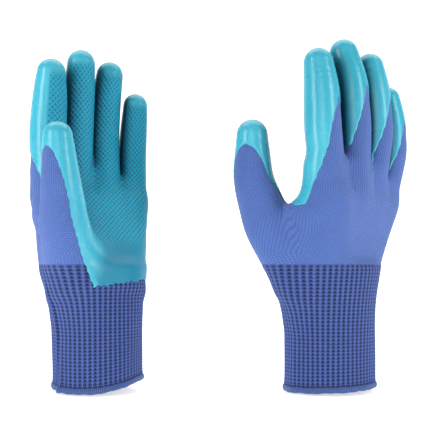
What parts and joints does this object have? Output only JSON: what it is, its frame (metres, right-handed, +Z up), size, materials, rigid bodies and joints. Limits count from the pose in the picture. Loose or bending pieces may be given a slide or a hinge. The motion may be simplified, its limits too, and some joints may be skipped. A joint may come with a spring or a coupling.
{
  "type": "pair of gardening gloves",
  "caption": "Pair of knit gardening gloves with a rubber-dipped palm and fingertips, a ribbed dotted cuff and an overlocked hem.",
  "frame": {"origin": "centre of the left glove's cuff opening, at the hem's lower edge", "axes": "+Z up, from the cuff openings to the fingertips; +X from the left glove to the right glove; +Y toward the back, away from the side on which the left glove shows its palm"},
  "size_m": [0.2613, 0.1111, 0.2386],
  "materials": {
    "knit_liner": "fine-gauge periwinkle knit",
    "cuff_knit": "ribbed periwinkle knit with navy dots",
    "hem_binding": "overlocked cornflower thread",
    "rubber_coat": "glossy turquoise latex dip, lattice embossed on the palm side"
  },
  "bodies": {
    "left_cuff": {"left_cuff": "cuff_knit", "left_hem": "hem_binding"},
    "left_palm": {"left_palm_liner": "knit_liner", "left_palm_coat": "rubber_coat"},
    "left_index_first": {"left_index_first_liner": "knit_liner", "left_index_first_coat": "rubber_coat"},
    "left_index_middle": {"left_index_middle_liner": "knit_liner", "left_index_middle_coat": "rubber_coat"},
    "left_index_tip": {"left_index_tip_coat": "rubber_coat"},
    "left_middle_first": {"left_middle_first_liner": "knit_liner", "left_middle_first_coat": "rubber_coat"},
    "left_middle_middle": {"left_middle_middle_liner": "knit_liner", "left_middle_middle_coat": "rubber_coat"},
    "left_middle_tip": {"left_middle_tip_coat": "rubber_coat"},
    "left_ring_first": {"left_ring_first_liner": "knit_liner", "left_ring_first_coat": "rubber_coat"},
    "left_ring_middle": {"left_ring_middle_liner": "knit_liner", "left_ring_middle_coat": "rubber_coat"},
    "left_ring_tip": {"left_ring_tip_coat": "rubber_coat"},
    "left_little_first": {"left_little_first_liner": "knit_liner", "left_little_first_coat": "rubber_coat"},
    "left_little_middle": {"left_little_middle_liner": "knit_liner", "left_little_middle_coat": "rubber_coat"},
    "left_little_tip": {"left_little_tip_coat": "rubber_coat"},
    "left_thumb_first": {"left_thumb_first_liner": "knit_liner", "left_thumb_first_coat": "rubber_coat"},
    "left_thumb_tip": {"left_thumb_tip_coat": "rubber_coat"},
    "right_cuff": {"right_cuff": "cuff_knit", "right_hem": "hem_binding"},
    "right_palm": {"right_palm_liner": "knit_liner", "right_palm_coat": "rubber_coat"},
    "right_index_first": {"right_index_first_liner": "knit_liner", "right_index_first_coat": "rubber_coat"},
    "right_index_middle": {"right_index_middle_liner": "knit_liner", "right_index_middle_coat": "rubber_coat"},
    "right_index_tip": {"right_index_tip_coat": "rubber_coat"},
    "right_middle_first": {"right_middle_first_liner": "knit_liner", "right_middle_first_coat": "rubber_coat"},
    "right_middle_middle": {"right_middle_middle_liner": "knit_liner", "right_middle_middle_coat": "rubber_coat"},
    "right_middle_tip": {"right_middle_tip_coat": "rubber_coat"},
    "right_ring_first": {"right_ring_first_liner": "knit_liner", "right_ring_first_coat": "rubber_coat"},
    "right_ring_middle": {"right_ring_middle_liner": "knit_liner", "right_ring_middle_coat": "rubber_coat"},
    "right_ring_tip": {"right_ring_tip_coat": "rubber_coat"},
    "right_little_first": {"right_little_first_liner": "knit_liner", "right_little_first_coat": "rubber_coat"},
    "right_little_middle": {"right_little_middle_liner": "knit_liner", "right_little_middle_coat": "rubber_coat"},
    "right_little_tip": {"right_little_tip_coat": "rubber_coat"},
    "right_thumb_first": {"right_thumb_first_liner": "knit_liner", "right_thumb_first_coat": "rubber_coat"},
    "right_thumb_tip": {"right_thumb_tip_coat": "rubber_coat"}
  },
  "joints": [
    {"name": "left_wrist", "type": "hinge", "parent": "left_cuff", "child": "left_palm", "pos_m": [-0.003, 0.0052, 0.084], "axis": [0.8733, 0.4836, -0.0583], "range_deg": [-25, 30], "stiffness_Nm_per_rad": 0.4},
    {"name": "left_index_knuckle", "type": "hinge", "parent": "left_palm", "child": "left_index_first", "pos_m": [-0.03772, 0.00404, 0.13753], "axis": [0.8733, 0.4836, -0.0583], "range_deg": [-20, 30], "stiffness_Nm_per_rad": 0.08},
    {"name": "left_index_second", "type": "hinge", "parent": "left_index_first", "child": "left_index_middle", "pos_m": [-0.0344, -0.00301, 0.17778], "axis": [0.8733, 0.4836, -0.0583], "range_deg": [-8, 50], "stiffness_Nm_per_rad": 0.05},
    {"name": "left_index_third", "type": "hinge", "parent": "left_index_middle", "child": "left_index_tip", "pos_m": [-0.0323, -0.00749, 0.2033], "axis": [0.8733, 0.4836, -0.0583], "range_deg": [-8, 35], "stiffness_Nm_per_rad": 0.04},
    {"name": "left_middle_knuckle", "type": "hinge", "parent": "left_palm", "child": "left_middle_first", "pos_m": [-0.01764, 0.01517, 0.13619], "axis": [0.8733, 0.4836, -0.0583], "range_deg": [-20, 45], "stiffness_Nm_per_rad": 0.08},
    {"name": "left_middle_second", "type": "hinge", "parent": "left_middle_first", "child": "left_middle_middle", "pos_m": [-0.01628, 0.01411, 0.18215], "axis": [0.8733, 0.4836, -0.0583], "range_deg": [-8, 50], "stiffness_Nm_per_rad": 0.05},
    {"name": "left_middle_third", "type": "hinge", "parent": "left_middle_middle", "child": "left_middle_tip", "pos_m": [-0.01422, 0.01124, 0.21094], "axis": [0.8733, 0.4836, -0.0583], "range_deg": [-8, 35], "stiffness_Nm_per_rad": 0.04},
    {"name": "left_ring_knuckle", "type": "hinge", "parent": "left_palm", "child": "left_ring_first", "pos_m": [0.00245, 0.02629, 0.13485], "axis": [0.8733, 0.4836, -0.0583], "range_deg": [-20, 45], "stiffness_Nm_per_rad": 0.08},
    {"name": "left_ring_second", "type": "hinge", "parent": "left_ring_first", "child": "left_ring_middle", "pos_m": [0.00073, 0.0322, 0.1774], "axis": [0.8733, 0.4836, -0.0583], "range_deg": [-8, 50], "stiffness_Nm_per_rad": 0.05},
    {"name": "left_ring_third", "type": "hinge", "parent": "left_ring_middle", "child": "left_ring_tip", "pos_m": [0.00292, 0.03009, 0.20524], "axis": [0.8733, 0.4836, -0.0583], "range_deg": [-8, 35], "stiffness_Nm_per_rad": 0.04},
    {"name": "left_little_knuckle", "type": "hinge", "parent": "left_palm", "child": "left_little_first", "pos_m": [0.02079, 0.03645, 0.13362], "axis": [0.8733, 0.4836, -0.0583], "range_deg": [-20, 45], "stiffness_Nm_per_rad": 0.08},
    {"name": "left_little_second", "type": "hinge", "parent": "left_little_first", "child": "left_little_middle", "pos_m": [0.01954, 0.04168, 0.16618], "axis": [0.8733, 0.4836, -0.0583], "range_deg": [-8, 50], "stiffness_Nm_per_rad": 0.05},
    {"name": "left_little_third", "type": "hinge", "parent": "left_little_middle", "child": "left_little_tip", "pos_m": [0.02123, 0.04053, 0.18708], "axis": [0.8733, 0.4836, -0.0583], "range_deg": [-8, 35], "stiffness_Nm_per_rad": 0.04},
    {"name": "left_thumb_knuckle", "type": "hinge", "parent": "left_palm", "child": "left_thumb_first", "pos_m": [-0.02054, -0.03842, 0.114], "axis": [0.0019, -0.9554, -0.2955], "range_deg": [-25, 25], "stiffness_Nm_per_rad": 0.08},
    {"name": "left_thumb_middle", "type": "hinge", "parent": "left_thumb_first", "child": "left_thumb_tip", "pos_m": [-0.02335, -0.04755, 0.14349], "axis": [0.0019, -0.9554, -0.2955], "range_deg": [-35, 8], "stiffness_Nm_per_rad": 0.05},
    {"name": "pair_spacing", "type": "slide", "parent": "left_cuff", "child": "right_cuff", "axis": [1, 0, 0], "range_m": [0, 0.15]},
    {"name": "right_wrist", "type": "hinge", "parent": "right_cuff", "child": "right_palm", "pos_m": [0.1646, -0.00386, 0.084], "axis": [-0.6279, -0.7761, 0.0583], "range_deg": [-25, 30], "stiffness_Nm_per_rad": 0.4},
    {"name": "right_index_knuckle", "type": "hinge", "parent": "right_palm", "child": "right_index_first", "pos_m": [0.15743, -0.03785, 0.13753], "axis": [-0.6279, -0.7761, 0.0583], "range_deg": [-20, 30], "stiffness_Nm_per_rad": 0.08},
    {"name": "right_index_second", "type": "hinge", "parent": "right_index_first", "child": "right_index_middle", "pos_m": [0.15106, -0.03336, 0.17778], "axis": [-0.6279, -0.7761, 0.0583], "range_deg": [-8, 50], "stiffness_Nm_per_rad": 0.05},
    {"name": "right_index_third", "type": "hinge", "parent": "right_index_middle", "child": "right_index_tip", "pos_m": [0.14702, -0.03051, 0.2033], "axis": [-0.6279, -0.7761, 0.0583], "range_deg": [-8, 35], "stiffness_Nm_per_rad": 0.04},
    {"name": "right_middle_knuckle", "type": "hinge", "parent": "right_palm", "child": "right_middle_first", "pos_m": [0.17188, -0.02, 0.13619], "axis": [-0.6279, -0.7761, 0.0583], "range_deg": [-20, 45], "stiffness_Nm_per_rad": 0.08},
    {"name": "right_middle_second", "type": "hinge", "parent": "right_middle_first", "child": "right_middle_middle", "pos_m": [0.17107, -0.01849, 0.18215], "axis": [-0.6279, -0.7761, 0.0583], "range_deg": [-8, 50], "stiffness_Nm_per_rad": 0.05},
    {"name": "right_middle_third", "type": "hinge", "parent": "right_middle_middle", "child": "right_middle_tip", "pos_m": [0.1686, -0.01595, 0.21094], "axis": [-0.6279, -0.7761, 0.0583], "range_deg": [-8, 35], "stiffness_Nm_per_rad": 0.04},
    {"name": "right_ring_knuckle", "type": "hinge", "parent": "right_palm", "child": "right_ring_first", "pos_m": [0.18632, -0.00215, 0.13485], "axis": [-0.6279, -0.7761, 0.0583], "range_deg": [-20, 45], "stiffness_Nm_per_rad": 0.08},
    {"name": "right_ring_second", "type": "hinge", "parent": "right_ring_first", "child": "right_ring_middle", "pos_m": [0.19184, -0.00487, 0.1774], "axis": [-0.6279, -0.7761, 0.0583], "range_deg": [-8, 50], "stiffness_Nm_per_rad": 0.05},
    {"name": "right_ring_third", "type": "hinge", "parent": "right_ring_middle", "child": "right_ring_tip", "pos_m": [0.19014, -0.00235, 0.20524], "axis": [-0.6279, -0.7761, 0.0583], "range_deg": [-8, 35], "stiffness_Nm_per_rad": 0.04},
    {"name": "right_little_knuckle", "type": "hinge", "parent": "right_palm", "child": "right_little_first", "pos_m": [0.19951, 0.01414, 0.13362], "axis": [-0.6279, -0.7761, 0.0583], "range_deg": [-20, 45], "stiffness_Nm_per_rad": 0.08},
    {"name": "right_little_second", "type": "hinge", "parent": "right_little_first", "child": "right_little_middle", "pos_m": [0.20444, 0.01201, 0.16618], "axis": [-0.6279, -0.7761, 0.0583], "range_deg": [-8, 50], "stiffness_Nm_per_rad": 0.05},
    {"name": "right_little_third", "type": "hinge", "parent": "right_little_middle", "child": "right_little_tip", "pos_m": [0.20361, 0.01387, 0.18708], "axis": [-0.6279, -0.7761, 0.0583], "range_deg": [-8, 35], "stiffness_Nm_per_rad": 0.04},
    {"name": "right_thumb_knuckle", "type": "hinge", "parent": "right_palm", "child": "right_thumb_first", "pos_m": [0.1186, -0.01356, 0.114], "axis": [0.9405, -0.1678, 0.2955], "range_deg": [-25, 25], "stiffness_Nm_per_rad": 0.08},
    {"name": "right_thumb_middle", "type": "hinge", "parent": "right_thumb_first", "child": "right_thumb_tip", "pos_m": [0.10912, -0.01474, 0.14349], "axis": [0.9405, -0.1678, 0.2955], "range_deg": [-35, 8], "stiffness_Nm_per_rad": 0.05}
  ]
}
